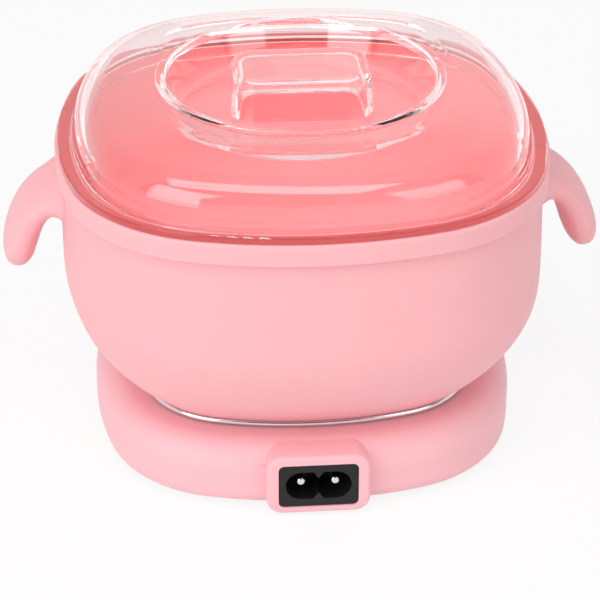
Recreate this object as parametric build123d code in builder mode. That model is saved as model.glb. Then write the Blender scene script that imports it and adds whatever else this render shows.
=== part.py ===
from build123d import *

import os
from math import sqrt

# Electric wax warmer: a silicone pot with two ears and a clear lid, standing on a low heating base.
# Origin on the floor under the middle of the pot, +Z up, mains inlet towards -Y, dial towards +Y.
# All lengths are in millimetres.

# Clearances shared by the pieces
overrun = 1.0
slip_gap = 0.2
shaft_gap = 0.05
thread_gap = 0.05
lift_gap = 0.4

# Rounded-square outline of the pot's rim: four long side arcs and four corner arcs.
# Every other outline of the pot, lid and base runs parallel to it.
rim_half = 62.6
rim_side_radius = 110.0
rim_corner_radius = 42.0

# Feet and base housing
foot_height = 1.0
foot_radius = 5.0
foot_recess = 0.8
foot_inset = 4.8
foot_edge_radius = 0.4
room_height = 10.0
base_margin = 11.0
base_wall = 2.2
base_sole_radius = 4.0
base_sole_lip = 4.8
base_shoulder_radius = 7.0
base_crest_radius = 0.6
gutter_wall = 2.0
gutter_roof = 2.0
gutter_radius = 0.8
cavity_radius = 5.0

# Pads on the two ends of the base
pad_top_margin = 0.3
pad_corner_radius = 4.0
pad_edge_radius = 1.0
pad_roof = 2.3
pad_side = 0.7
inlet_pad_width = 25.8
inlet_pad_proud = 2.8
dial_pad_width = 38.0
dial_pad_proud = 1.4

# Bottom cover
cover_thickness = 2.0
cover_pad_height = 1.0
cover_pad_radius = 4.0
vent_length = 26.0
vent_width = 2.4
vent_pitch = 6.0
vent_count = 5
vent_centre_y = -14.0
cover_screw_x = 24.0
cover_screw_set_in = 10.1
cover_screw_radius = 1.3
cover_screw_length = 8.0
cover_screw_head_radius = 2.5
cover_screw_head = 1.6
post_radius = 3.2
socket_depth = 1.2
socket_radius = 0.9

# Heating stack, from the pot seat downwards
plate_proud = 0.5
plate_set_in = 1.8
plate_thickness = 2.2
plate_edge = 0.4
gasket_thickness = 0.5
gasket_margin = 0.4
ledge_width = 3.6
ledge_thickness = 1.4
heater_thickness = 0.8
heater_margin = 4.6
pad_radius_margin = 2.0
clamp_thickness = 1.0
clamp_lap = 2.3
stack_screw_circle = 27.0
stack_screw_radius = 1.45
stack_screw_head_radius = 2.6
stack_screw_head = 1.6
stack_screw_cover = 0.8
tab_gap = 3.0
tab_width = 4.0
tab_thickness = 0.8
tab_length = 6.1
tab_slot_margin = 1.0

# Temperature sensor, its bracket and the thermal cut-off
sensor_radius = 3.2
sensor_flange_radius = 4.6
sensor_flange = 0.6
sensor_flange_drop = 0.9
sensor_boss_radius = 1.6
sensor_boss = 1.4
bracket_thickness = 0.6
bracket_width = 7.0
bracket_span = 26.0
bracket_hole_gap = 0.3
cutoff_radius = 2.0
cutoff_length = 11.0
cutoff_lead_radius = 0.5
cutoff_front_lead = 3.0
cutoff_rear_gap = 8.0
clip_thickness = 0.5
clip_length = 5.0
clip_wing = 2.5

# Mains inlet of the two-pin figure-of-eight kind
inlet_z = 9.0
inlet_width = 19.5
inlet_height = 11.8
inlet_corner_radius = 1.5
inlet_set_back = 0.3
inlet_front_depth = 8.7
inlet_rear_depth = 3.6
inlet_rear_width = 18.6
inlet_rear_height = 9.6
inlet_ear_width = 23.6
inlet_ear_height = 11.0
inlet_ear_thickness = 1.6
inlet_ear_set_in = 5.7
socket_pin_pitch = 8.6
socket_lobe_radius = 3.9
socket_mouth_depth = 9.4
socket_notch_width = 2.6
socket_notch_depth = 1.8
pin_radius = 1.18
pin_set_back = 1.6
pin_tip_radius = 0.7
tag_radius = 0.8
tag_length = 4.0

# Control board and what stands on it
board_width = 39.0
board_depth = 29.0
board_thickness = 1.2
board_standoff = 0.6
board_standoff_radius = 2.4
board_rear_gap = 1.8
board_screw_inset = 3.0
board_screw_radius = 1.0
board_screw_head_radius = 1.9
board_screw_head = 1.2
board_screw_bite = 1.2
terminal_width = 13.0
terminal_depth = 7.0
terminal_height = 5.2
terminal_x = 7.0
terminal_inset = 1.0
terminal_pole = 6.5
terminal_screw_radius = 1.6
terminal_screw_depth = 0.8
capacitor_width = 13.0
capacitor_depth = 5.0
capacitor_height = 6.0
capacitor_x = -12.0
capacitor_inset = 13.0
capacitor_edge_radius = 0.8
triac_width = 10.0
triac_depth = 4.6
triac_height = 6.2
triac_x = 12.0
triac_inset = 14.0
triac_tab = 1.2
plug_width = 6.0
plug_depth = 5.0
plug_height = 4.2
plug_x = -4.5
plug_inset = 0.5

# Temperature dial, its potentiometer and the lamp beside it
dial_z = 9.0
dial_radius = 6.2
dial_height = 5.8
dial_gap = 0.3
dial_edge_radius = 0.8
dial_grip_count = 24
dial_grip_radius = 0.55
dial_pointer_width = 1.2
dial_pointer_depth = 0.5
dial_off_angle = -45
dial_cap = 1.6
shaft_radius = 3.0
shaft_tail = 5.5
shaft_hole_gap = 0.5
pot_body_width = 11.0
pot_body_depth = 7.0
pot_body_height = 8.4
pot_bush_radius = 4.2
pot_bush_length = 3.0
pot_back_wall = 1.0
lamp_x = 13.0
lens_radius = 1.7
lens_flange_radius = 2.5
lens_flange = 1.0
lens_tail = 2.4
lens_proud = 0.6
led_radius = 1.5
led_length = 3.4
led_gap = 0.6
led_block = 3.4

# Wires inside the base
wire_radius = 0.9
wire_bend = 3.0
sensor_wire_radius = 0.5
sensor_wire_pitch = 1.6
sensor_wire_bend = 1.0
wire_run_z = 6.5
wire_straight = 6.0
wire_drop_shares = (0.4, 0.7)
wire_lead_share = 0.3

# Silicone pot
rim_overhang = 1.6
belly_set_in = 0.9
bowl_run = 17.9
pot_height = 59.6
pot_belly_rise = 28.7
pot_wall = 2.6
pot_floor = 1.6
pot_floor_corner = 2.1
pot_plate_set_in = 0.2
pot_plate_thickness = 1.2
pot_plate_edge = 0.3
rim_height = 5.6
rim_top_radius = 0.8
rim_under_radius = 0.5
rim_mouth_radius = 0.4
pot_core_margin = 5.0

# Ears of the pot: matching points down the outer and inner side, as shares of reach and drop
ear_reach = 15.0
ear_drop = 34.5
ear_root_width = 27.0
ear_tip_width = 21.0
ear_corner_share = 0.45
ear_tip_radius = 2.4
ear_outer_shares = (
    (-0.173, 0.02),
    (0.28, 0.078),
    (0.627, 0.223),
    (0.867, 0.446),
    (0.993, 0.707),
    (0.953, 0.954),
)
ear_inner_shares = (
    (-0.173, 0.417),
    (0.053, 0.478),
    (0.2, 0.577),
    (0.32, 0.693),
    (0.44, 0.82),
    (0.56, 0.994),
)

# Lid
flange_set_in = 0.7
flange_width = 3.7
flange_thickness = 1.8
flange_edge_radius = 0.5
lid_wall = 2.0
dome_foot_radius = 0.6
dome_rise = 13.8
dome_lean = 1.8
dome_shoulder_rise = 9.5
dome_shoulder_radius = 9.0
dome_inner_radius = 7.0
dome_slope_share = 0.8
crown_run = 18.0
crown_radius = 12.0
lid_core_margin = 2.0
skirt_depth = 3.0
skirt_edge_radius = 0.4
lip_set_in = 1.6
lip_height = 0.8
lip_width = 2.4
lip_edge_radius = 0.9
recess_depth = 8.3
recess_slope = 3.4
recess_corner_radius = 2.0
grip_width = 36.0
grip_depth = 24.0
grip_height = 10.5
grip_corner_radius = 7.0
grip_taper = 4.0
grip_edge_radius = 2.4
grip_cavity_corner_radius = 5.0
grip_cavity_edge_radius = 1.4

# Levels and places that follow from the sizes above
arc_set_back = rim_side_radius - rim_half
arc_reach = rim_side_radius - rim_corner_radius
corner_centre = (sqrt(2 * arc_reach**2 - arc_set_back**2) - arc_set_back) / 2
pot_neck_half = rim_half - rim_overhang
pot_belly_half = rim_half - belly_set_in
pot_floor_half = pot_belly_half - bowl_run
pot_plate_half = pot_floor_half - pot_plate_set_in
pot_core_half = pot_floor_half - pot_core_margin
mouth_half = pot_neck_half - pot_wall
flange_half = rim_half - flange_set_in
skirt_half = mouth_half - lift_gap
dome_foot_half = flange_half - flange_width
dome_shoulder_half = dome_foot_half - dome_lean
crown_half = dome_shoulder_half - crown_run
lid_core_half = crown_half - lid_core_margin
lip_radius = crown_half - lip_set_in
recess_floor_radius = lip_radius - lip_width - recess_slope
base_bottom = foot_height
cover_top = base_bottom + cover_thickness
clamp_bottom = cover_top + room_height
ledge_bottom = clamp_bottom + clamp_thickness
ledge_top = ledge_bottom + ledge_thickness
plate_bottom = ledge_top + gasket_thickness
heater_bottom = plate_bottom - heater_thickness
pot_seat = plate_bottom + plate_thickness
base_top = pot_seat - plate_proud
plate_half = pot_floor_half - plate_set_in
opening_half = plate_half - ledge_width
heater_radius = opening_half - heater_margin
clamp_radius = opening_half + clamp_lap
pot_bottom = pot_seat + pot_plate_thickness
base_half = pot_floor_half + base_margin
cover_lip_half = base_half - base_sole_lip
cavity_half = base_half - base_wall
post_bottom = cover_top + cover_pad_height
pad_height = base_top - base_bottom - pad_top_margin
pad_middle = base_bottom + pad_height / 2
hollow_height = base_bottom + pad_height - pad_roof - cover_top
hollow_middle = cover_top + hollow_height / 2
inlet_face = base_half + inlet_pad_proud
dial_face = base_half + dial_pad_proud
socket_front = inlet_face - inlet_set_back
inlet_shoulder = socket_front - inlet_front_depth
inlet_back = inlet_shoulder - inlet_rear_depth
tag_end = inlet_back - tag_length
tab_place = bracket_span / 2 + tab_gap
board_bottom = cover_top + board_standoff
board_top = board_bottom + board_thickness
pot_body_back = dial_face - dial_pad_proud - base_wall - pot_bush_length - pot_body_depth - slip_gap
pot_body_front = pot_body_back + pot_body_depth
board_front = pot_body_front - board_rear_gap
board_back = board_front - board_depth
cutoff_z = clamp_bottom - cutoff_radius
cutoff_rear = -cutoff_rear_gap - tab_thickness
cutoff_front = cutoff_rear - cutoff_length
rim_top = pot_bottom + pot_height
rim_bottom = rim_top - rim_height
belly_z = pot_bottom + pot_belly_rise
dome_foot = rim_top + flange_thickness
crown = dome_foot + dome_rise
lip_top = crown + lip_height
recess_floor = lip_top - recess_depth
recess_lean = recess_slope / recess_depth
recess_under_radius = recess_floor_radius - recess_lean * lid_wall + lid_wall * sqrt(1 + recess_lean**2)
recess_over_radius = recess_under_radius + recess_lean * (crown - recess_floor)

foot_place = corner_centre + (arc_set_back + cover_lip_half - arc_reach) / sqrt(2) - foot_inset
foot_places = [(x, y) for x in (-foot_place, foot_place) for y in (-foot_place, foot_place)]
cover_screw_y = cavity_half - cover_screw_set_in
cover_screw_rows = (-cover_screw_y, cover_screw_y)
cover_screw_places = [(x, y) for x in (-cover_screw_x, cover_screw_x) for y in cover_screw_rows]
board_screw_x = board_width / 2 - board_screw_inset
board_screw_y = board_back + board_screw_inset
board_screw_places = [(-board_screw_x, board_screw_y), (board_screw_x, board_screw_y)]
stack_screw_places = [
    (stack_screw_circle, 0),
    (0, stack_screw_circle),
    (-stack_screw_circle, 0),
    (0, -stack_screw_circle),
]
vent_places = [
    (0, vent_centre_y + vent_pitch * (row - (vent_count - 1) / 2)) for row in range(vent_count)
]
pin_places = [(-socket_pin_pitch / 2, inlet_z), (socket_pin_pitch / 2, inlet_z)]


def outline(half, level):
    """Flat face parallel to the rim's outline: four side arcs joined by four tangent corner arcs."""
    side_radius = arc_set_back + half
    joint_far = (corner_centre + arc_set_back) * side_radius / arc_reach - arc_set_back
    joint_near = corner_centre * side_radius / arc_reach
    tip = corner_centre + (side_radius - arc_reach) / sqrt(2)
    with BuildSketch(Plane.XY.offset(level)) as face:
        with BuildLine():
            for quarter in range(4):
                start, middle, end, turn, leave = [
                    Vector(x, y).rotate(Axis.Z, 90 * quarter)
                    for x, y in (
                        (joint_far, -joint_near),
                        (half, 0),
                        (joint_far, joint_near),
                        (tip, tip),
                        (joint_near, joint_far),
                    )
                ]
                ThreePointArc(start, middle, end)
                ThreePointArc(end, turn, leave)
        make_face()
    return face.sketch


def ring_profile(corners):
    """Closed profile in the plane of the ears; each corner is a half width, a level and a rounding."""
    with BuildSketch(Plane.XZ) as profile:
        with BuildLine():
            FilletPolyline(
                *[(half, level) for half, level, rounding in corners],
                radius=[rounding for half, level, rounding in corners],
                close=True,
            )
        make_face()
    return profile.sketch


def ear_section(outer_share, inner_share, along):
    """Rounded slab across the ear between two matching points, narrower towards the tip."""
    outer, inner = [
        Vector(rim_half + ear_reach * out, 0, rim_top - ear_drop * down)
        for out, down in (outer_share, inner_share)
    ]
    width = ear_root_width + (ear_tip_width - ear_root_width) * along
    thickness = (outer - inner).length
    across = Vector(0, 1, 0)
    with BuildSketch(Plane((outer + inner) / 2, x_dir=across, z_dir=across.cross(outer - inner))) as section:
        RectangleRounded(width, thickness, ear_corner_share * thickness)
    return section.sketch


def wire(route, radius, bend):
    """Round wire along straight runs joined by arcs."""
    with BuildPart() as lead:
        with BuildLine() as path:
            FilletPolyline(*route, radius=bend)
        with BuildSketch(Plane(origin=path.line @ 0, z_dir=path.line % 0)):
            Circle(radius)
        sweep()
    return lead.part


# Path that the ring-shaped profiles follow
rim_path = outline(rim_half, 0).wires()[0]

# Feet
with BuildPart() as feet:
    with BuildSketch():
        with Locations(*foot_places):
            Circle(foot_radius)
    extrude(amount=foot_height + foot_recess)
    fillet(feet.edges().group_by(Axis.Z)[0], radius=foot_edge_radius)

# Base housing: rounded skirt, soft shoulder, ledge for the heating plate and a hollow all round
pocket_half = plate_half + slip_gap
gutter_half = pocket_half + gutter_wall
with BuildPart() as base_shell:
    sweep(
        ring_profile(
            [
                (base_half, base_bottom, base_sole_radius),
                (base_half, base_top, base_shoulder_radius),
                (pocket_half, base_top, base_crest_radius),
                (pocket_half, ledge_top, 0),
                (opening_half, ledge_top, 0),
                (opening_half, ledge_bottom, 0),
                (gutter_half, ledge_bottom, 0),
                (gutter_half, base_top - gutter_roof, gutter_radius),
                (cavity_half, base_top - gutter_roof, cavity_radius),
                (cavity_half, cover_top, 0),
                (cover_lip_half, cover_top, 0),
                (cover_lip_half, base_bottom, 0),
            ]
        ),
        path=rim_path,
    )
    with BuildSketch(Plane.XZ.offset(inlet_face)):
        with Locations((0, pad_middle)):
            RectangleRounded(inlet_pad_width, pad_height, pad_corner_radius)
    extrude(amount=-(inlet_pad_proud + base_shoulder_radius))
    fillet(base_shell.faces().sort_by(Axis.Y)[0].edges(), radius=pad_edge_radius)
    with BuildSketch(Plane.XZ.offset(-dial_face)):
        with Locations((0, pad_middle)):
            RectangleRounded(dial_pad_width, pad_height, pad_corner_radius)
    extrude(amount=dial_pad_proud + base_shoulder_radius)
    fillet(base_shell.faces().sort_by(Axis.Y)[-1].edges(), radius=pad_edge_radius)
    with BuildSketch(Plane.XZ.offset(cavity_half)):
        with Locations((0, hollow_middle)):
            Rectangle(inlet_pad_width - 2 * pad_side, hollow_height)
    extrude(amount=-base_shoulder_radius, mode=Mode.SUBTRACT)
    with BuildSketch(Plane.XZ.offset(-cavity_half)):
        with Locations((0, hollow_middle)):
            Rectangle(dial_pad_width - 2 * pad_side, hollow_height)
    extrude(amount=base_shoulder_radius, mode=Mode.SUBTRACT)
    extrude(outline(cover_lip_half, base_bottom), amount=cover_thickness, mode=Mode.SUBTRACT)
    with BuildSketch(Plane.XY.offset(post_bottom)):
        with Locations(*cover_screw_places):
            Circle(post_radius)
    extrude(amount=ledge_top - slip_gap - post_bottom)
    with BuildSketch(Plane.XY.offset(post_bottom)):
        with Locations(*cover_screw_places):
            Circle(cover_screw_radius + thread_gap)
    extrude(amount=cover_screw_length - socket_depth, mode=Mode.SUBTRACT)
    with BuildSketch(Plane.XZ.offset(inlet_face + overrun)):
        with Locations((0, inlet_z)):
            RectangleRounded(inlet_width + 2 * slip_gap, inlet_height + 2 * slip_gap, inlet_corner_radius)
    extrude(amount=-(inlet_pad_proud + 2 * base_wall + overrun), mode=Mode.SUBTRACT)
    with BuildSketch(Plane.XZ.offset(-dial_face - overrun)):
        with Locations((0, dial_z)):
            Circle(shaft_radius + shaft_hole_gap)
        with Locations((lamp_x, dial_z)):
            Circle(lens_radius + slip_gap)
    extrude(amount=dial_pad_proud + 2 * base_wall + overrun, mode=Mode.SUBTRACT)

# Bottom cover
with BuildPart() as bottom_cover:
    extrude(outline(cover_lip_half - slip_gap, base_bottom), amount=cover_thickness)
    with BuildSketch(Plane.XY.offset(cover_top)):
        with Locations(*cover_screw_places):
            Circle(cover_pad_radius)
    extrude(amount=cover_pad_height)
    with BuildSketch(Plane.XY.offset(cover_top)):
        with Locations(*board_screw_places):
            Circle(board_standoff_radius)
    extrude(amount=board_standoff)
    with Locations(*[(x, y, base_bottom) for x, y in cover_screw_places]):
        with Locations(Rotation(180, 0, 0)):
            CounterBoreHole(
                cover_screw_radius + slip_gap,
                cover_screw_head_radius + slip_gap,
                cover_screw_head + slip_gap,
                depth=cover_thickness + cover_pad_height,
            )
    with BuildSketch(Plane.XY.offset(base_bottom)):
        with Locations(*foot_places):
            Circle(foot_radius + slip_gap)
    extrude(amount=foot_recess, mode=Mode.SUBTRACT)
    with BuildSketch(Plane.XY.offset(base_bottom)):
        with Locations(*vent_places):
            SlotOverall(vent_length, vent_width)
    extrude(amount=cover_thickness, mode=Mode.SUBTRACT)
    with BuildSketch(Plane.XY.offset(board_bottom)):
        with Locations(*board_screw_places):
            Circle(board_screw_radius + thread_gap)
    extrude(amount=-(board_screw_bite + board_standoff), mode=Mode.SUBTRACT)

# Screws that hold the cover, heads down
with BuildPart() as cover_screws:
    with BuildSketch(Plane.XY.offset(base_bottom + slip_gap)):
        with Locations(*cover_screw_places):
            Circle(cover_screw_head_radius)
    extrude(amount=cover_screw_head)
    with BuildSketch(Plane.XY.offset(base_bottom + slip_gap + cover_screw_head)):
        with Locations(*cover_screw_places):
            Circle(cover_screw_radius)
    extrude(amount=cover_screw_length)
    with BuildSketch(Plane.XY.offset(base_bottom + slip_gap)):
        with Locations(*cover_screw_places):
            RegularPolygon(socket_radius, 6)
    extrude(amount=socket_depth, mode=Mode.SUBTRACT)

# Heating plate that carries the pot
with BuildPart() as heating_plate:
    extrude(outline(plate_half, plate_bottom), amount=plate_thickness)
    chamfer(heating_plate.edges().group_by(Axis.Z)[-1], length=plate_edge)
    with BuildSketch(Plane.XY.offset(plate_bottom)):
        with Locations(*stack_screw_places):
            Circle(stack_screw_radius + thread_gap)
    extrude(amount=plate_thickness - stack_screw_cover + thread_gap, mode=Mode.SUBTRACT)

# Gasket under the plate's edge
with BuildPart() as plate_gasket:
    with BuildSketch(Plane.XY.offset(ledge_top)):
        add(outline(plate_half - gasket_margin, 0))
        add(outline(opening_half + gasket_margin, 0), mode=Mode.SUBTRACT)
    extrude(amount=gasket_thickness)

# Mica heater with two terminal tabs that reach down through the stack
with BuildPart() as mica_heater:
    with BuildSketch(Plane.XY.offset(heater_bottom)):
        Circle(heater_radius)
        Circle(sensor_radius + slip_gap, mode=Mode.SUBTRACT)
        with Locations(*stack_screw_places):
            Circle(stack_screw_radius + slip_gap, mode=Mode.SUBTRACT)
    extrude(amount=heater_thickness)
    with BuildSketch(Plane.XY.offset(heater_bottom)):
        with Locations((-tab_place, -tab_thickness / 2), (tab_place, -tab_thickness / 2)):
            Rectangle(tab_width, tab_thickness)
    extrude(amount=-tab_length)


def stack_layer(radius, bottom, thickness):
    """Round layer of the stack with the holes that the sensor, screws and tabs pass through."""
    with BuildPart() as layer:
        with BuildSketch(Plane.XY.offset(bottom)):
            Circle(radius)
            Circle(sensor_radius + slip_gap, mode=Mode.SUBTRACT)
            with Locations(*stack_screw_places):
                Circle(stack_screw_radius + slip_gap, mode=Mode.SUBTRACT)
            with Locations((-tab_place, -tab_thickness / 2), (tab_place, -tab_thickness / 2)):
                Rectangle(tab_width + tab_slot_margin, tab_thickness + tab_slot_margin, mode=Mode.SUBTRACT)
        extrude(amount=thickness)
    return layer.part


insulation_pad = stack_layer(heater_radius + pad_radius_margin, ledge_bottom, heater_bottom - ledge_bottom)
clamp_plate = stack_layer(clamp_radius, clamp_bottom, clamp_thickness)

# Screws that pull the stack up against the heating plate
with BuildPart() as stack_screws:
    with BuildSketch(Plane.XY.offset(clamp_bottom - stack_screw_head)):
        with Locations(*stack_screw_places):
            Circle(stack_screw_head_radius)
    extrude(amount=stack_screw_head)
    with BuildSketch(Plane.XY.offset(clamp_bottom)):
        with Locations(*stack_screw_places):
            Circle(stack_screw_radius)
    extrude(amount=pot_seat - stack_screw_cover - clamp_bottom)
    with BuildSketch(Plane.XY.offset(clamp_bottom - stack_screw_head)):
        with Locations(*stack_screw_places):
            RegularPolygon(socket_radius, 6)
    extrude(amount=socket_depth, mode=Mode.SUBTRACT)

# Temperature sensor that touches the plate from below
sensor_flange_top = clamp_bottom - sensor_flange_drop
sensor_flange_bottom = sensor_flange_top - sensor_flange
with BuildPart() as temperature_sensor:
    with BuildSketch(Plane.XY.offset(sensor_flange_top)):
        Circle(sensor_radius)
    extrude(amount=plate_bottom - sensor_flange_top)
    with BuildSketch(Plane.XY.offset(sensor_flange_bottom)):
        Circle(sensor_flange_radius)
    extrude(amount=sensor_flange)
    with BuildSketch(Plane.XY.offset(sensor_flange_bottom)):
        Circle(sensor_boss_radius)
    extrude(amount=-sensor_boss)

# Bent strip that presses the sensor up
with BuildPart() as sensor_bracket:
    with BuildSketch(Plane.XZ.offset(-bracket_width / 2)):
        with BuildLine():
            Polyline(
                (-bracket_span / 2, clamp_bottom),
                (-bracket_span / 2, sensor_flange_bottom - bracket_thickness),
                (bracket_span / 2, sensor_flange_bottom - bracket_thickness),
                (bracket_span / 2, clamp_bottom),
                (bracket_span / 2 - bracket_thickness, clamp_bottom),
                (bracket_span / 2 - bracket_thickness, sensor_flange_bottom),
                (bracket_thickness - bracket_span / 2, sensor_flange_bottom),
                (bracket_thickness - bracket_span / 2, clamp_bottom),
                close=True,
            )
        make_face()
    extrude(amount=bracket_width)
    with BuildSketch(Plane.XY.offset(sensor_flange_bottom)):
        Circle(sensor_boss_radius + bracket_hole_gap)
    extrude(amount=-bracket_thickness, mode=Mode.SUBTRACT)

# Thermal cut-off with its two leads, welded to the left heater tab
with BuildPart() as thermal_cutoff:
    with BuildSketch(Plane.XZ.offset(-cutoff_rear)):
        with Locations((-tab_place, cutoff_z)):
            Circle(cutoff_radius)
    extrude(amount=cutoff_length)
    with BuildSketch(Plane.XZ.offset(tab_thickness)):
        with Locations((-tab_place, cutoff_z)):
            Circle(cutoff_lead_radius)
    extrude(amount=cutoff_rear_gap + cutoff_length + cutoff_front_lead)

# Saddle clip round the cut-off
with BuildPart() as cutoff_clip:
    with BuildSketch(Plane.XZ.offset(-(cutoff_rear + cutoff_front + clip_length) / 2)):
        with Locations((-tab_place, cutoff_z)):
            Circle(cutoff_radius + thread_gap + clip_thickness)
        with Locations((-tab_place, (cutoff_z + clamp_bottom) / 2)):
            Rectangle(2 * (cutoff_radius + thread_gap + clip_thickness), clamp_bottom - cutoff_z)
        with Locations((-tab_place, clamp_bottom - clip_thickness / 2)):
            Rectangle(2 * (cutoff_radius + thread_gap + clip_thickness + clip_wing), clip_thickness)
        with Locations((-tab_place, cutoff_z)):
            Circle(cutoff_radius + thread_gap, mode=Mode.SUBTRACT)
        with Locations((-tab_place, (cutoff_z + clamp_bottom + overrun) / 2)):
            Rectangle(
                2 * (cutoff_radius + thread_gap),
                clamp_bottom + overrun - cutoff_z,
                mode=Mode.SUBTRACT,
            )
        with Locations((-tab_place, clamp_bottom + cutoff_radius + overrun)):
            Rectangle(base_half, 2 * (cutoff_radius + overrun), mode=Mode.SUBTRACT)
    extrude(amount=clip_length)

# Black socket body: front block, side ears behind the wall, narrower rear
with BuildPart() as inlet_body:
    with BuildSketch(Plane.XZ.offset(socket_front)):
        with Locations((0, inlet_z)):
            RectangleRounded(inlet_width, inlet_height, inlet_corner_radius)
    extrude(amount=-inlet_front_depth)
    with BuildSketch(Plane.XZ.offset(socket_front - inlet_ear_set_in)):
        with Locations((0, inlet_z)):
            Rectangle(inlet_ear_width, inlet_ear_height)
    extrude(amount=-inlet_ear_thickness)
    with BuildSketch(Plane.XZ.offset(inlet_shoulder)):
        with Locations((0, inlet_z)):
            Rectangle(inlet_rear_width, inlet_rear_height)
    extrude(amount=-inlet_rear_depth)
    with BuildSketch(Plane.XZ.offset(socket_front)):
        with Locations((0, inlet_z)):
            SlotOverall(socket_pin_pitch + 2 * socket_lobe_radius, 2 * socket_lobe_radius)
        for side in (-1, 1):
            with BuildLine():
                Polyline(
                    (-socket_notch_width / 2, inlet_z + side * socket_lobe_radius),
                    (0, inlet_z + side * (socket_lobe_radius - socket_notch_depth)),
                    (socket_notch_width / 2, inlet_z + side * socket_lobe_radius),
                    close=True,
                )
            make_face(mode=Mode.SUBTRACT)
    extrude(amount=-socket_mouth_depth, mode=Mode.SUBTRACT)
    with BuildSketch(Plane.XZ.offset(socket_front)):
        with Locations(*pin_places):
            Circle(pin_radius + thread_gap)
    extrude(amount=-(inlet_front_depth + inlet_rear_depth), mode=Mode.SUBTRACT)

# The two contact pins, with solder tags behind
with BuildPart() as inlet_pins:
    with BuildSketch(Plane.XZ.offset(socket_front - pin_set_back)):
        with Locations(*pin_places):
            Circle(pin_radius)
    extrude(amount=inlet_back - socket_front + pin_set_back)
    fillet(inlet_pins.edges().group_by(Axis.Y)[0], radius=pin_tip_radius)
    with BuildSketch(Plane.XZ.offset(inlet_back)):
        with Locations(*pin_places):
            Circle(tag_radius)
    extrude(amount=-tag_length)

# Control board
with BuildPart() as control_board:
    with BuildSketch(Plane.XY.offset(board_bottom)):
        with Locations((0, (board_back + board_front) / 2)):
            Rectangle(board_width, board_depth)
        with Locations(*board_screw_places):
            Circle(board_screw_radius + slip_gap, mode=Mode.SUBTRACT)
    extrude(amount=board_thickness)

with BuildPart() as board_screws:
    with BuildSketch(Plane.XY.offset(board_top)):
        with Locations(*board_screw_places):
            Circle(board_screw_head_radius)
    extrude(amount=board_screw_head)
    with BuildSketch(Plane.XY.offset(board_top)):
        with Locations(*board_screw_places):
            Circle(board_screw_radius)
    extrude(amount=-(board_thickness + board_standoff + board_screw_bite - slip_gap))

# Terminal block for the mains and heater wires
terminal_y = board_back + terminal_inset
terminal_poles = [terminal_x - terminal_pole / 2, terminal_x + terminal_pole / 2]
with BuildPart() as terminal_block:
    with BuildSketch(Plane.XY.offset(board_top)):
        with Locations((terminal_x, terminal_y + terminal_depth / 2)):
            Rectangle(terminal_width, terminal_depth)
    extrude(amount=terminal_height)
    with BuildSketch(Plane.XY.offset(board_top + terminal_height)):
        with Locations(*[(x, terminal_y + terminal_depth / 2) for x in terminal_poles]):
            Circle(terminal_screw_radius)
    extrude(amount=-terminal_screw_depth, mode=Mode.SUBTRACT)

# Filter capacitor
with BuildPart() as filter_capacitor:
    with BuildSketch(Plane.XY.offset(board_top)):
        with Locations((capacitor_x, board_back + capacitor_inset)):
            RectangleRounded(capacitor_width, capacitor_depth, capacitor_edge_radius)
    extrude(amount=capacitor_height)

# Power switch of the heater: moulded body with its metal tab behind
with BuildPart() as drive_triac:
    with BuildSketch(Plane.XY.offset(board_top)):
        with Locations((triac_x, board_back + triac_inset)):
            Rectangle(triac_width, triac_depth)
    extrude(amount=triac_height)
    chamfer(drive_triac.edges().group_by(Axis.Z)[-1].sort_by(Axis.Y)[0], length=triac_tab)

# Plug of the sensor wires
plug_y = board_back + plug_inset
with BuildPart() as sensor_plug:
    with BuildSketch(Plane.XY.offset(board_top)):
        with Locations((plug_x, plug_y + plug_depth / 2)):
            Rectangle(plug_width, plug_depth)
    extrude(amount=plug_height)

# Potentiometer body and bush
with BuildPart() as potentiometer:
    with BuildSketch(Plane.XZ.offset(-pot_body_front)):
        with Locations((0, board_top + pot_body_height / 2)):
            Rectangle(pot_body_width, pot_body_height)
    extrude(amount=pot_body_depth)
    with BuildSketch(Plane.XZ.offset(-pot_body_front)):
        with Locations((0, dial_z)):
            Circle(pot_bush_radius)
    extrude(amount=-pot_bush_length)
    with BuildSketch(Plane.XZ.offset(-pot_body_front - pot_bush_length)):
        with Locations((0, dial_z)):
            Circle(shaft_radius + shaft_gap)
    extrude(amount=pot_bush_length + pot_body_depth - pot_back_wall, mode=Mode.SUBTRACT)

# Shaft that turns with the dial
shaft_start = pot_body_front - shaft_tail
shaft_end = dial_face + dial_gap + dial_height - dial_cap
with BuildPart() as dial_shaft:
    with BuildSketch(Plane.XZ.offset(-shaft_end)):
        with Locations((0, dial_z)):
            Circle(shaft_radius)
    extrude(amount=shaft_end - shaft_start)

# Fluted dial with a pointer groove on its face
dial_back = dial_face + dial_gap
dial_front = dial_back + dial_height
dial_grip_places = [
    Vector(dial_radius, 0).rotate(Axis.Z, 360 * place / dial_grip_count) for place in range(dial_grip_count)
]
with BuildPart() as control_dial:
    with BuildSketch(Plane.XZ.offset(-dial_front)):
        with Locations((0, dial_z)):
            Circle(dial_radius)
    extrude(amount=dial_height)
    fillet(control_dial.edges().group_by(Axis.Y)[-1], radius=dial_edge_radius)
    with BuildSketch(Plane.XZ.offset(-dial_front)):
        with Locations((0, dial_z)):
            with Locations(*dial_grip_places):
                Circle(dial_grip_radius)
    extrude(amount=dial_height, mode=Mode.SUBTRACT)
    with BuildSketch(Plane.XZ.offset(-dial_front)):
        with Locations((0, dial_z)):
            with Locations(Rotation(0, 0, dial_off_angle)):
                with Locations((dial_radius / 2, 0)):
                    Rectangle(dial_radius / 2, dial_pointer_width)
    extrude(amount=dial_pointer_depth, mode=Mode.SUBTRACT)
    with BuildSketch(Plane.XZ.offset(-dial_back)):
        with Locations((0, dial_z)):
            Circle(shaft_radius + shaft_gap)
    extrude(amount=-(shaft_end - dial_back), mode=Mode.SUBTRACT)

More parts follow.
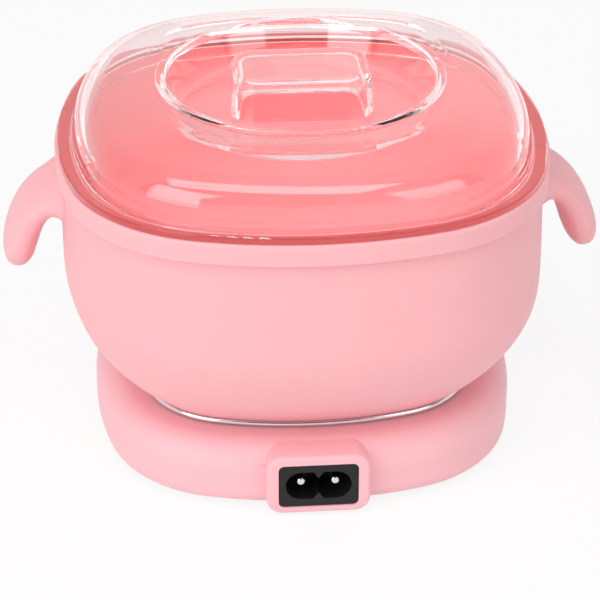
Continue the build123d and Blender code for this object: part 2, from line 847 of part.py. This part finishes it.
# Lamp lens in the pad and the lamp behind it
lens_back = cavity_half - lens_tail
with BuildPart() as indicator_lens:
    with BuildSketch(Plane.XZ.offset(-dial_face - lens_proud)):
        with Locations((lamp_x, dial_z)):
            Circle(lens_radius)
    extrude(amount=dial_face + lens_proud - lens_back)
    fillet(indicator_lens.edges().group_by(Axis.Y)[-1], radius=lens_proud)
    with BuildSketch(Plane.XZ.offset(-lens_back)):
        with Locations((lamp_x, dial_z)):
            Circle(lens_flange_radius)
    extrude(amount=-lens_flange)

led_front = lens_back - led_gap
with BuildPart() as indicator_led:
    with BuildSketch(Plane.XZ.offset(-led_front)):
        with Locations((lamp_x, dial_z)):
            Circle(led_radius)
    extrude(amount=led_length)
    fillet(indicator_led.edges().group_by(Axis.Y)[-1], radius=led_radius / 2)
    with BuildSketch(Plane.XY.offset(board_top)):
        with Locations((lamp_x, led_front - led_length)):
            Rectangle(led_block, 2 * led_radius)
    extrude(amount=dial_z - board_top)

# Wires inside the base
terminal_z = board_top + terminal_height / 2
lead_run = terminal_y + tag_end
live_wire = wire(
    [
        (pin_places[1][0], -tag_end, inlet_z),
        (pin_places[1][0], wire_straight - tag_end, inlet_z),
        *[(terminal_poles[0], share * lead_run - tag_end, wire_run_z) for share in wire_drop_shares],
        (terminal_poles[0], terminal_y - wire_straight, terminal_z),
        (terminal_poles[0], terminal_y, terminal_z),
    ],
    wire_radius,
    wire_bend,
)
neutral_wire = wire(
    [
        (pin_places[0][0], -tag_end, inlet_z),
        (pin_places[0][0], wire_straight - tag_end, inlet_z),
        (-tab_place, cutoff_front - cutoff_front_lead - wire_straight, cutoff_z),
        (-tab_place, cutoff_front - cutoff_front_lead, cutoff_z),
    ],
    wire_radius,
    wire_bend,
)
heater_wire = wire(
    [
        (tab_place, 0, cutoff_z),
        (tab_place, wire_lead_share * terminal_y, cutoff_z),
        (terminal_poles[1], terminal_y - wire_lead_share * terminal_y, terminal_z),
        (terminal_poles[1], terminal_y, terminal_z),
    ],
    wire_radius,
    wire_bend,
)
sensor_wire_top = sensor_flange_bottom - sensor_boss
sensor_wire_low = board_top + plug_height / 2
sensor_leads = [
    wire(
        [
            (side * sensor_wire_pitch / 2, 0, sensor_wire_top),
            (side * sensor_wire_pitch / 2, 0, sensor_wire_low),
            (plug_x + side * sensor_wire_pitch / 2, plug_y - wire_straight, sensor_wire_low),
            (plug_x + side * sensor_wire_pitch / 2, plug_y, sensor_wire_low),
        ],
        sensor_wire_radius,
        sensor_wire_bend,
    )
    for side in (-1, 1)
]
with BuildPart() as sensor_wires:
    add(sensor_leads)

# Metal plate bonded under the pot
with BuildPart() as pot_base_plate:
    extrude(outline(pot_plate_half, pot_seat), amount=pot_plate_thickness)
    chamfer(pot_base_plate.edges().group_by(Axis.Z)[0], length=pot_plate_edge)

# One ear, joined into the pot below
with BuildPart() as ear:
    loft(
        [
            ear_section(outer, inner, step / (len(ear_outer_shares) - 1))
            for step, (outer, inner) in enumerate(zip(ear_outer_shares, ear_inner_shares))
        ]
    )
    fillet(ear.faces().sort_by(Axis.Z)[0].edges(), radius=ear_tip_radius)

# Silicone pot: bowl with rim band and ears in one moulding
with BuildPart() as silicone_pot:
    with BuildSketch(Plane.XZ):
        with BuildLine():
            outer_bowl = Bezier(
                (pot_floor_half, pot_bottom),
                (pot_belly_half, (pot_bottom + belly_z) / 2),
                (pot_belly_half, belly_z),
            )
            inner_bowl = Bezier(
                (pot_floor_half - pot_floor_corner, pot_bottom + pot_floor),
                (pot_belly_half - pot_wall, (pot_bottom + pot_floor + belly_z) / 2),
                (pot_belly_half - pot_wall, belly_z),
            )
            outer_neck = TangentArc(outer_bowl @ 1, (pot_neck_half, rim_bottom), tangent=(0, 1))
            inner_neck = TangentArc(inner_bowl @ 1, (mouth_half, rim_bottom), tangent=(0, 1))
            FilletPolyline(
                outer_neck @ 1,
                (rim_half, rim_bottom),
                (rim_half, rim_top),
                (mouth_half, rim_top),
                inner_neck @ 1,
                radius=(rim_under_radius, rim_top_radius, rim_mouth_radius),
            )
            Polyline(
                inner_bowl @ 0,
                (pot_core_half, pot_bottom + pot_floor),
                (pot_core_half, pot_bottom),
                outer_bowl @ 0,
            )
        make_face()
    sweep(path=rim_path)
    extrude(outline(pot_core_half, pot_bottom), amount=pot_floor)
    add(ear.part)
    add(mirror(ear.part, about=Plane.YZ))

# Hollow inside the lid's grip, open below
with BuildPart() as grip_cavity:
    with BuildSketch(Plane.XY.offset(recess_floor - lid_wall)):
        RectangleRounded(
            grip_width - 2 * lid_wall, grip_depth - 2 * lid_wall, grip_cavity_corner_radius
        )
    extrude(amount=grip_height, taper=grip_taper)
    fillet(grip_cavity.faces().sort_by(Axis.Z)[-1].edges(), radius=grip_cavity_edge_radius)

# Clear lid: flange, locating skirt, dome, dished crown and hollow grip
with BuildPart() as lid:
    sweep(
        ring_profile(
            [
                (lid_core_half, crown, 0),
                (crown_half, crown, crown_radius),
                (dome_shoulder_half, dome_foot + dome_shoulder_rise, dome_shoulder_radius),
                (dome_foot_half, dome_foot, dome_foot_radius),
                (flange_half, dome_foot, flange_edge_radius),
                (flange_half, rim_top, 0),
                (skirt_half, rim_top, 0),
                (skirt_half, rim_top - skirt_depth, skirt_edge_radius),
                (skirt_half - lid_wall, rim_top - skirt_depth, skirt_edge_radius),
                (
                    dome_shoulder_half - lid_wall,
                    dome_foot + dome_shoulder_rise - dome_slope_share * lid_wall,
                    dome_inner_radius,
                ),
                (crown_half, crown - lid_wall, crown_radius),
                (lid_core_half, crown - lid_wall, 0),
            ]
        ),
        path=rim_path,
    )
    with BuildSketch(Plane.XY.offset(crown - lid_wall)):
        add(outline(lid_core_half, 0))
        Circle(lip_radius - lip_width / 2, mode=Mode.SUBTRACT)
    extrude(amount=lid_wall)
    with BuildSketch(Plane.XZ):
        with BuildLine():
            FilletPolyline(
                (0, recess_floor),
                (recess_floor_radius, recess_floor),
                (lip_radius - lip_width, lip_top),
                (lip_radius, lip_top),
                (lip_radius, crown - lid_wall),
                (recess_over_radius, crown - lid_wall),
                (recess_under_radius, recess_floor - lid_wall),
                (0, recess_floor - lid_wall),
                radius=(recess_corner_radius, lip_edge_radius, lip_edge_radius, 0, 0, recess_corner_radius),
            )
            Line((0, recess_floor - lid_wall), (0, recess_floor))
        make_face()
    revolve(axis=Axis.Z)
    with BuildSketch(Plane.XY.offset(recess_floor)):
        RectangleRounded(grip_width, grip_depth, grip_corner_radius)
    extrude(amount=grip_height, taper=grip_taper)
    fillet(lid.faces().sort_by(Axis.Z)[-1].edges(), radius=grip_edge_radius)
    add(grip_cavity.part, mode=Mode.SUBTRACT)

pieces = {
    "lid": lid.part,
    "silicone_pot": silicone_pot.part,
    "pot_base_plate": pot_base_plate.part,
    "base_shell": base_shell.part,
    "bottom_cover": bottom_cover.part,
    "feet": feet.part,
    "cover_screws": cover_screws.part,
    "heating_plate": heating_plate.part,
    "plate_gasket": plate_gasket.part,
    "mica_heater": mica_heater.part,
    "insulation_pad": insulation_pad,
    "clamp_plate": clamp_plate,
    "stack_screws": stack_screws.part,
    "temperature_sensor": temperature_sensor.part,
    "sensor_bracket": sensor_bracket.part,
    "thermal_cutoff": thermal_cutoff.part,
    "cutoff_clip": cutoff_clip.part,
    "inlet_body": inlet_body.part,
    "inlet_pins": inlet_pins.part,
    "control_board": control_board.part,
    "board_screws": board_screws.part,
    "terminal_block": terminal_block.part,
    "filter_capacitor": filter_capacitor.part,
    "drive_triac": drive_triac.part,
    "sensor_plug": sensor_plug.part,
    "potentiometer": potentiometer.part,
    "dial_shaft": dial_shaft.part,
    "control_dial": control_dial.part,
    "indicator_lens": indicator_lens.part,
    "indicator_led": indicator_led.part,
    "live_wire": live_wire,
    "neutral_wire": neutral_wire,
    "heater_wire": heater_wire,
    "sensor_wires": sensor_wires.part,
}
os.makedirs("parts", exist_ok=True)
for name, piece in pieces.items():
    piece.label = name
    export_step(piece, f"parts/{name}.step")
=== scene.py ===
"""Looks of the wax warmer: camera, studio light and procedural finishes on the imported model."""

import math

import bmesh
import bpy
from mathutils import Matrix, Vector


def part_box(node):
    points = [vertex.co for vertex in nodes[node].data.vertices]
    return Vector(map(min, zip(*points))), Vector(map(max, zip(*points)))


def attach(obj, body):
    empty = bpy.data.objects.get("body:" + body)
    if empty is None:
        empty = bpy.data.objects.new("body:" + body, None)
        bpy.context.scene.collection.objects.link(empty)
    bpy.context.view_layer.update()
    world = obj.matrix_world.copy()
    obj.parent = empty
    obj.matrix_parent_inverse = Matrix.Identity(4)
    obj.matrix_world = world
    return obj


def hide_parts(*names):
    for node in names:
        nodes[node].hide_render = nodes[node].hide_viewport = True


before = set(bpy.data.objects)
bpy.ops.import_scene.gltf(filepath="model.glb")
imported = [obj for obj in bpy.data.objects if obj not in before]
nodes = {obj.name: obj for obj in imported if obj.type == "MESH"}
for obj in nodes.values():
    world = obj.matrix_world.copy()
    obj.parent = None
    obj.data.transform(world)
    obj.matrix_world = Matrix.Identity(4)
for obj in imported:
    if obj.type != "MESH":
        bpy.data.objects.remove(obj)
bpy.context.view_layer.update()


def linear(red, green, blue):
    """Screen colour, 0 to 255, as the linear values that the shaders take."""
    shares = [v / 255 for v in (red, green, blue)]
    return tuple(v / 12.92 if v <= 0.04045 else ((v + 0.055) / 1.055) ** 2.4 for v in shares)


def finish_nodes(name):
    """New node material, its node tree's maker and linker, and its Principled shader."""
    material = bpy.data.materials.new(name)
    material.use_nodes = True
    tree = material.node_tree
    return material, tree.nodes.new, tree.links.new, tree.nodes["Principled BSDF"]


def surface(
    name,
    colour,
    roughness,
    metallic=0.0,
    mottle=0.03,
    mottle_scale=40.0,
    grain_scale=1200.0,
    grain=0.02,
    rough_swing=0.05,
    stretch=(1.0, 1.0, 1.0),
    sockets=None,
):
    """Finish with a slow change of tone, a fine change of roughness and a fine grain in relief."""
    material, make, link, shader = finish_nodes(name)
    place = make("ShaderNodeTexCoord")
    scale = make("ShaderNodeMapping")
    scale.inputs["Scale"].default_value = stretch
    link(place.outputs["Object"], scale.inputs["Vector"])
    slow = make("ShaderNodeTexNoise")
    slow.inputs["Scale"].default_value = mottle_scale
    slow.inputs["Detail"].default_value = 3.0
    link(scale.outputs["Vector"], slow.inputs["Vector"])
    tone = make("ShaderNodeMix")
    tone.data_type = "RGBA"
    tone.inputs["A"].default_value = (*[v * (1 - mottle) for v in colour], 1)
    tone.inputs["B"].default_value = (*[min(1.0, v * (1 + mottle)) for v in colour], 1)
    link(slow.outputs["Fac"], tone.inputs["Factor"])
    link(tone.outputs["Result"], shader.inputs["Base Color"])
    fine = make("ShaderNodeTexNoise")
    fine.inputs["Scale"].default_value = grain_scale
    fine.inputs["Detail"].default_value = 4.0
    link(scale.outputs["Vector"], fine.inputs["Vector"])
    rough = make("ShaderNodeMapRange")
    rough.inputs["To Min"].default_value = max(0.0, roughness - rough_swing)
    rough.inputs["To Max"].default_value = min(1.0, roughness + rough_swing)
    link(fine.outputs["Fac"], rough.inputs["Value"])
    link(rough.outputs["Result"], shader.inputs["Roughness"])
    if grain:
        relief = make("ShaderNodeBump")
        relief.inputs["Strength"].default_value = grain
        relief.inputs["Distance"].default_value = 0.001
        link(fine.outputs["Fac"], relief.inputs["Height"])
        link(relief.outputs["Normal"], shader.inputs["Normal"])
    shader.inputs["Metallic"].default_value = metallic
    for socket, value in (sockets or {}).items():
        shader.inputs[socket].default_value = value
    return material


def clear_plastic(name, tint, roughness, passed_tint_or_painted_shade, bending):
    """Clear moulding: bends what is seen through it, and lets light on to what it covers in a given
    colour; a strong colour there is painted shade.
    """
    material, make, link, shader = finish_nodes(name)
    place = make("ShaderNodeTexCoord")
    flow = make("ShaderNodeTexNoise")
    flow.inputs["Scale"].default_value = 60.0
    link(place.outputs["Object"], flow.inputs["Vector"])
    rough = make("ShaderNodeMapRange")
    rough.inputs["To Min"].default_value = roughness * 0.6
    rough.inputs["To Max"].default_value = roughness * 1.4
    link(flow.outputs["Fac"], rough.inputs["Value"])
    link(rough.outputs["Result"], shader.inputs["Roughness"])
    shader.inputs["Base Color"].default_value = (*tint, 1)
    shader.inputs["Transmission Weight"].default_value = 1.0
    shader.inputs["IOR"].default_value = bending
    shader.inputs["Coat Weight"].default_value = 1.0
    shader.inputs["Coat Roughness"].default_value = 0.02
    shader.inputs["Coat IOR"].default_value = 1.56
    # Shadow rays pass through in the given colour. Where that colour is deeper than the plastic's
    # own tint, it is painted shade on what lies under the moulding.
    path = make("ShaderNodeLightPath")
    glassless = make("ShaderNodeBsdfTransparent")
    glassless.inputs["Color"].default_value = (*passed_tint_or_painted_shade, 1)
    mix = make("ShaderNodeMixShader")
    link(path.outputs["Is Shadow Ray"], mix.inputs["Fac"])
    link(shader.outputs["BSDF"], mix.inputs[1])
    link(glassless.outputs["BSDF"], mix.inputs[2])
    link(mix.outputs["Shader"], material.node_tree.nodes["Material Output"].inputs["Surface"])
    return material


def seen_rays(make, link):
    """Socket that is 1 on the rays that show a thing, and 0 on those that only carry its light."""
    path = make("ShaderNodeLightPath")
    seen = path.outputs["Is Camera Ray"]
    for kind in ("Is Glossy Ray", "Is Transmission Ray"):
        either = make("ShaderNodeMath")
        either.operation = "MAXIMUM"
        link(seen, either.inputs[0])
        link(path.outputs[kind], either.inputs[1])
        seen = either.outputs[0]
    straight = make("ShaderNodeMath")
    straight.operation = "LESS_THAN"
    straight.inputs[1].default_value = 0.5
    link(path.outputs["Diffuse Depth"], straight.inputs[0])
    both = make("ShaderNodeMath")
    both.operation = "MULTIPLY"
    link(seen, both.inputs[0])
    link(straight.outputs[0], both.inputs[1])
    return both.outputs[0]


def ring_faces(first, levels, around, closed=False):
    """Quads between rings of points that follow each other from a first point on."""
    faces = []
    for level in range(levels if closed else levels - 1):
        low, high = first + level * around, first + (level + 1) % levels * around
        for number in range(around):
            after = (number + 1) % around
            faces.append((low + number, low + after, high + after, high + number))
    return faces


def add_object(name, points, faces, finish, sharp_angle=None):
    """New mesh object in the scene, smooth up to a sharp angle in degrees where one is given."""
    mesh = bpy.data.meshes.new(name)
    mesh.from_pydata(points, [], faces)
    if sharp_angle:
        facing = bmesh.new()
        facing.from_mesh(mesh)
        bmesh.ops.recalc_face_normals(facing, faces=facing.faces[:])
        facing.to_mesh(mesh)
        facing.free()
        mesh.polygons.foreach_set("use_smooth", [True] * len(mesh.polygons))
        mesh.set_sharp_from_angle(angle=math.radians(sharp_angle))
    mesh.materials.append(finish)
    made = bpy.data.objects.new(name, mesh)
    bpy.context.scene.collection.objects.link(made)
    return made


# Finishes. Where a row gives no names, its numbers are roughness, metallic, mottle and its scale,
# the grain's scale, the grain, the swing of roughness and the stretch of the pattern.
silicone = surface(
    "pink silicone",
    linear(254, 186, 191),
    0.55,
    mottle=0.02,
    grain_scale=2500.0,
    grain=0.03,
    sockets={
        "Subsurface Weight": 0.12,
        "Subsurface Radius": (0.004, 0.002, 0.002),
        "Subsurface Scale": 1.0,
        "Sheen Weight": 0.08,
        "Specular IOR Level": 0.4,
    },
)
housing = surface(
    "pink housing", linear(253, 193, 200), 0.45, mottle=0.02, grain_scale=2500.0, grain=0.02
)
# The lid's faint pink tint and the deeper pink of the light it lets through are painted shade. They
# deepen the coral inside the pot and on the rim under the flange; the real lid is clear.
lid_with_painted_shade = clear_plastic(
    "clear lid with painted shade", tint=(1.0, 0.925, 0.925), roughness=0.02, passed_tint_or_painted_shade=(1.0, 0.61, 0.6), bending=1.22
)
lens_clear = clear_plastic(
    "clear lens", tint=(0.98, 0.9, 0.86), roughness=0.12, passed_tint_or_painted_shade=(0.95, 0.85, 0.8), bending=1.4
)
polished = surface(
    "polished plate", (0.8, 0.8, 0.81), 0.18, 1.0, 0.04, 90.0, 700.0, 0.01, 0.06, (1, 1, 0.05)
)
aluminium = surface(
    "turned aluminium", (0.72, 0.73, 0.75), 0.34, 1.0, 0.05, 60.0, 900.0, 0.02, 0.08, (1, 0.06, 1)
)
zinc = surface("zinc plated steel", (0.66, 0.67, 0.69), 0.32, 1.0, 0.08, 160.0, 900.0, 0.02)
contact = surface("plated contact", (0.78, 0.76, 0.73), 0.2, 1.0, 0.05, 200.0, 1500.0, 0.01)
black = surface(
    "black moulding",
    (0.009, 0.008, 0.008),
    0.45,
    mottle=0.15,
    mottle_scale=120.0,
    grain_scale=1800.0,
    grain=0.06,
    sockets={"Specular IOR Level": 0.38},
)
foot_rubber = surface("foot rubber", linear(214, 206, 206), 0.75, 0.0, 0.06, 120.0, 1500.0, 0.08)
seal = surface("seal rubber", linear(188, 180, 176), 0.7, 0.0, 0.05, 150.0, 1500.0, 0.06)
mica = surface("mica", linear(196, 178, 140), 0.5, 0.0, 0.18, 90.0, 600.0, 0.1)
fibre = surface("fibre pad", linear(232, 228, 218), 0.9, 0.0, 0.08, 200.0, 1400.0, 0.3)
laminate = surface("board laminate", linear(38, 104, 66), 0.4, 0.0, 0.12, 150.0, 900.0, 0.04)
terminal = surface("terminal plastic", linear(70, 140, 90), 0.45, 0.0, 0.05, 150.0, 1500.0, 0.04)
capacitor = surface("capacitor case", linear(214, 176, 60), 0.35, 0.0, 0.05, 150.0, 1500.0, 0.03)
plug = surface("plug nylon", linear(236, 232, 222), 0.5, 0.0, 0.04, 150.0, 1500.0, 0.03)
dial = surface("dial plastic", linear(250, 244, 245), 0.32, 0.0, 0.02, 80.0, 1800.0, 0.02)
lamp = surface("lamp red", linear(210, 40, 32), 0.2, 0.0, 0.06, 200.0, 1500.0, 0.0)
brown = surface("brown wire", linear(104, 64, 42), 0.45, 0.0, 0.06, 200.0, 1500.0, 0.03)
blue = surface("blue wire", linear(44, 78, 158), 0.45, 0.0, 0.06, 200.0, 1500.0, 0.03)
white = surface("white wire", linear(236, 232, 226), 0.5, 0.0, 0.04, 200.0, 1500.0, 0.03)
tick_print = surface("tick print", linear(150, 104, 108), 0.5, 0.0, 0.05, 200.0, 1500.0, 0.02)

finishes = {
    silicone: ["silicone_pot"],
    housing: ["base_shell", "bottom_cover"],
    lid_with_painted_shade: ["lid"],
    lens_clear: ["indicator_lens"],
    polished: ["pot_base_plate"],
    aluminium: ["heating_plate", "temperature_sensor", "thermal_cutoff"],
    zinc: [
        "cover_screws",
        "stack_screws",
        "board_screws",
        "clamp_plate",
        "sensor_bracket",
        "cutoff_clip",
        "dial_shaft",
    ],
    contact: ["inlet_pins"],
    black: ["inlet_body", "drive_triac", "potentiometer"],
    foot_rubber: ["feet"],
    seal: ["plate_gasket"],
    mica: ["mica_heater"],
    fibre: ["insulation_pad"],
    laminate: ["control_board"],
    terminal: ["terminal_block"],
    capacitor: ["filter_capacitor"],
    plug: ["sensor_plug"],
    dial: ["control_dial"],
    lamp: ["indicator_led"],
    brown: ["live_wire"],
    blue: ["neutral_wire"],
    white: ["heater_wire", "sensor_wires"],
}
for finish, names in finishes.items():
    for name in names:
        mesh = nodes[name].data
        mesh.materials.clear()
        mesh.materials.append(finish)

# Pot with its ears as photographed, on the section of the CAD pot. All of its sizes are in metres.
rim_half = 0.0626
side_radius, corner_radius = 0.110, 0.042
side_centre = rim_half - side_radius
corner_centre = 0.01814
corner_turn = math.atan2(corner_centre, corner_centre - side_centre)
wall_reach = 0.03  # nearer the middle than this, the section is the pot's floor
weld = 1e-7


def pot_section(node):
    """Points (half width, height) of a CAD pot's wall, from its foot over the rim to its floor."""
    mesh = bmesh.new()
    mesh.from_mesh(nodes[node].data)
    bmesh.ops.remove_doubles(mesh, verts=mesh.verts, dist=weld)
    everything = mesh.verts[:] + mesh.edges[:] + mesh.faces[:]
    cut = bmesh.ops.bisect_plane(mesh, geom=everything, plane_co=(0, 0, 0), plane_no=(1, 0, 0))
    beside = {}
    for edge in cut["geom_cut"]:
        if isinstance(edge, bmesh.types.BMEdge):
            one, other = edge.verts
            beside.setdefault(one, []).append(other)
            beside.setdefault(other, []).append(one)
    here = min(beside, key=lambda v: (round(v.co.z, 5), v.co.y))
    before, wall = None, [here]
    while here.co.y < -wall_reach and len(wall) < len(beside):
        onward = [v for v in beside[here] if v is not before]
        step = max(onward, key=lambda v: v.co.z) if before is None else onward[0]
        before, here = here, step
        wall.append(here)
    points = [(-v.co.y, v.co.z) for v in wall if v.co.y < -wall_reach]
    mesh.free()
    return points


def outline_place(half, turn):
    """Place on the rounded-square outline of that half width, where its normal has that turn."""
    across, along = math.cos(turn), math.sin(turn)
    lean = math.atan2(abs(along), abs(across))
    if lean <= corner_turn:
        centre, radius = (-math.copysign(side_centre, across), 0.0), side_radius
    elif lean >= math.pi / 2 - corner_turn:
        centre, radius = (0.0, -math.copysign(side_centre, along)), side_radius
    else:
        centre = (math.copysign(corner_centre, across), math.copysign(corner_centre, along))
        radius = corner_radius
    reach = radius + half - rim_half
    return centre[0] + reach * across, centre[1] + reach * along


def outline_rings(wall):
    """Points of a wall (half width, height) taken round the pot's outline, one ring per point."""
    turns = [2 * math.pi * number / ring for number in range(ring)]
    return [(*outline_place(half, turn), height) for half, height in wall for turn in turns]


def bezier(points, share):
    """Point of a cubic curve."""
    rest = 1 - share
    weights = (rest**3, 3 * rest**2 * share, 3 * rest * share**2, share**3)
    return [sum(w * point[axis] for w, point in zip(weights, points)) for axis in (0, 1)]


ring = 192
wall = pot_section("silicone_pot")
pot_points = outline_rings(wall)
pot_faces = ring_faces(0, len(wall), ring)
pot_faces.append(tuple(reversed(range(ring))))
pot_faces.append(tuple(range((len(wall) - 1) * ring, len(wall) * ring)))

# Each ear runs between an outer and an inner curve (distance from the middle, height), flares at
# its root and rounds off at its tip
ear_outer = ((0.0598, 0.0697), (0.0643, 0.0693), (0.0768, 0.0660), (0.0778, 0.0460))
ear_inner = ((0.0598, 0.0620), (0.0653, 0.0623), (0.0655, 0.0595), (0.0703, 0.0450))
ear_root_half, ear_tip_half, ear_roundness = 0.0130, 0.0122, 2 / 2.6
ear_flare, ear_flare_run, ear_root_at = 0.0022, 0.005, 0.0612
ear_tip_start, ear_tip_least = 0.86, 0.02
ear_steps, ear_around, ear_crowding = 48, 48, 0.8
for side in (-1, 1):
    first = len(pot_points)
    for step in range(ear_steps + 1):
        share = (step / ear_steps) ** ear_crowding
        outer, inner = bezier(ear_outer, share), bezier(ear_inner, share)
        middle_x, middle_z = (outer[0] + inner[0]) / 2, (outer[1] + inner[1]) / 2
        thick_x, thick_z = (outer[0] - inner[0]) / 2, (outer[1] - inner[1]) / 2
        thick = math.hypot(thick_x, thick_z)
        flare = ear_flare * max(0.0, min(1.0, 1 - (middle_x - ear_root_at) / ear_flare_run)) ** 2
        past_tip = max(0.0, (share - ear_tip_start) / (1 - ear_tip_start))
        close = max(math.sqrt(max(0.0, 1 - past_tip**2)), ear_tip_least)
        wide = (ear_root_half + (ear_tip_half - ear_root_half) * share + flare) * close
        deep = (1 + flare / thick) * close
        for number in range(ear_around):
            turn = 2 * math.pi * number / ear_around
            aside = math.copysign(abs(math.cos(turn)) ** ear_roundness, math.cos(turn))
            outward = math.copysign(abs(math.sin(turn)) ** ear_roundness, math.sin(turn))
            pot_points.append(
                (
                    side * (middle_x + thick_x * deep * outward),
                    wide * aside,
                    middle_z + thick_z * deep * outward,
                )
            )
    pot_faces += ring_faces(first, ear_steps + 1, ear_around)
    for end in (first, first + ear_steps * ear_around):
        pot_faces.append(tuple(range(end, end + ear_around)))
pot = add_object("pot_with_ears", pot_points, pot_faces, silicone, sharp_angle=40)
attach(pot, "pot")
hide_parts("silicone_pot")

# Bright trim that closes the edge of the plate under the pot (half width, height)
trim_wall = (
    (0.0436, 0.0181),
    (0.0444, 0.0181),
    (0.04462, 0.01835),
    (0.04458, 0.0187),
    (0.0444, 0.0191),
    (0.0441, 0.0194),
    (0.0436, 0.0194),
)
trim_faces = ring_faces(0, len(trim_wall), ring, closed=True)
trim = add_object("plate_trim", outline_rings(trim_wall), trim_faces, polished, sharp_angle=50)
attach(trim, "pot")

# Tick marks round the dial, standing a little proud of the pad
tick_count, tick_start, tick_sweep = 10, -45.0, 270.0
tick_near, tick_far, tick_wide, tick_proud, tick_sunk = 0.0066, 0.0073, 0.00034, 0.00018, 0.00005
dial_low, dial_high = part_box("control_dial")
dial_x, dial_z = (dial_low[0] + dial_high[0]) / 2, (dial_low[2] + dial_high[2]) / 2
pad_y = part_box("base_shell")[1][1]
tick_points, tick_faces = [], []
for number in range(tick_count):
    angle = math.radians(tick_start + tick_sweep * number / (tick_count - 1))
    first = len(tick_points)
    for depth in (-tick_sunk, tick_proud):
        for along, side in ((tick_near, -1), (tick_far, -1), (tick_far, 1), (tick_near, 1)):
            aside = side * tick_wide / 2
            tick_points.append(
                (
                    dial_x + along * math.cos(angle) - aside * math.sin(angle),
                    pad_y + depth,
                    dial_z + along * math.sin(angle) + aside * math.cos(angle),
                )
            )
    quads = [(0, 1, 2, 3), (7, 6, 5, 4), (0, 4, 5, 1), (1, 5, 6, 2), (2, 6, 7, 3), (3, 7, 4, 0)]
    tick_faces += [tuple(first + corner for corner in quad) for quad in quads]
ticks = add_object("dial_ticks", tick_points, tick_faces, tick_print)
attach(ticks, "base")

# Floor that shows as white paper and keeps the shadow
floor_reach, floor_paper_share = 6.0, 0.86
white_floor = surface("white floor", (0.93, 0.93, 0.93), 0.9, 0.0, 0.004, 3.0, 60.0, 0.0)
make, link = white_floor.node_tree.nodes.new, white_floor.node_tree.links.new
paper = make("ShaderNodeEmission")
share = make("ShaderNodeMath")
share.operation = "MULTIPLY"
share.inputs[1].default_value = floor_paper_share
link(seen_rays(make, link), share.inputs[0])
mix = make("ShaderNodeMixShader")
link(share.outputs[0], mix.inputs["Fac"])
link(white_floor.node_tree.nodes["Principled BSDF"].outputs["BSDF"], mix.inputs[1])
link(paper.outputs["Emission"], mix.inputs[2])
link(mix.outputs["Shader"], white_floor.node_tree.nodes["Material Output"].inputs["Surface"])
floor_points = [
    (across * floor_reach, along * floor_reach, 0)
    for across, along in ((-1, -1), (1, -1), (1, 1), (-1, 1))
]
floor = add_object("floor", floor_points, [(0, 1, 2, 3)], white_floor)

# Sky that lights the object, and the white backdrop that is seen in its place
world = bpy.data.worlds.new("studio")
bpy.context.scene.world = world
world.use_nodes = True
make, link = world.node_tree.nodes.new, world.node_tree.links.new
sky = world.node_tree.nodes["Background"]
sky.inputs["Color"].default_value = (1.0, 0.995, 0.99, 1)
sky.inputs["Strength"].default_value = 0.46
backdrop = make("ShaderNodeBackground")
backdrop.inputs["Strength"].default_value = 1.0
mix = make("ShaderNodeMixShader")
link(seen_rays(make, link), mix.inputs["Fac"])
link(sky.outputs["Background"], mix.inputs[1])
link(backdrop.outputs["Background"], mix.inputs[2])
link(mix.outputs["Shader"], world.node_tree.nodes["World Output"].inputs["Surface"])


def softbox(name, place, aim, width, height, power):
    """Rectangular lamp at a place, facing a point."""
    lamp_data = bpy.data.lights.new(name, "AREA")
    lamp_data.shape = "RECTANGLE"
    lamp_data.size, lamp_data.size_y = width, height
    lamp_data.energy = power
    box = bpy.data.objects.new(name, lamp_data)
    bpy.context.scene.collection.objects.link(box)
    box.location = place
    box.rotation_mode = "QUATERNION"
    box.rotation_quaternion = (Vector(aim) - Vector(place)).to_track_quat("-Z", "Y")


middle = Vector((0.0, 0.0, 0.05))
softbox("key", (-0.76, -0.66, 0.54), middle, 0.75, 0.8, 4.85)
softbox("fill", (0.66, -0.66, 0.53), middle, 0.6, 0.5, 1.65)
softbox("top", (-0.12, -0.29, 0.85), middle, 0.88, 0.36, 2.35)

# Dark cloth behind the softboxes, which only reflections show, as a photographer hangs one for
# clear plastic: a front, a roof and two wings
cloth_half, cloth_front, cloth_low, cloth_high, roof_back = 1.7, -1.6, 0.65, 3.2, -0.62
wing_half, wing_back = 2.3, -0.5
cloth_points = [
    (-cloth_half, cloth_front, cloth_low),
    (cloth_half, cloth_front, cloth_low),
    (cloth_half, cloth_front, cloth_high),
    (-cloth_half, cloth_front, cloth_high),
    (-cloth_half, roof_back, cloth_high),
    (cloth_half, roof_back, cloth_high),
    (-wing_half, wing_back, cloth_low),
    (-wing_half, wing_back, cloth_high),
    (wing_half, wing_back, cloth_low),
    (wing_half, wing_back, cloth_high),
]
cloth_faces = [(0, 1, 2, 3), (3, 2, 5, 4), (6, 0, 3, 7), (1, 8, 9, 2)]
dark_cloth = surface("studio cloth", (0.02, 0.02, 0.02), 0.9, 0.0, 0.1, 3.0, 200.0, 0.0)
cloth = add_object("cloth", cloth_points, cloth_faces, dark_cloth)
cloth.visible_camera = cloth.visible_diffuse = cloth.visible_transmission = False
cloth.visible_shadow = cloth.visible_volume_scatter = False

# Camera at the photo's angle
turn, rise, distance = math.radians(-4.46), math.radians(27.9), 0.5878
away = Vector((math.sin(turn) * math.cos(rise), -math.cos(turn) * math.cos(rise), math.sin(rise)))
camera_data = bpy.data.cameras.new("camera")
camera_data.sensor_width = 36.0
camera_data.lens = 135.1
camera_data.shift_x, camera_data.shift_y = -0.0012, -0.1158
camera_data.clip_start, camera_data.clip_end = 0.01, 50.0
camera = bpy.data.objects.new("camera", camera_data)
bpy.context.scene.collection.objects.link(camera)
camera.location = middle + away * distance
camera.rotation_mode = "QUATERNION"
camera.rotation_quaternion = (-away).to_track_quat("-Z", "Y")
bpy.context.scene.camera = camera
bpy.context.scene.view_settings.view_transform = "Standard"
bounces = bpy.context.scene.cycles
bounces.max_bounces, bounces.transmission_bounces, bounces.glossy_bounces = 24, 24, 12
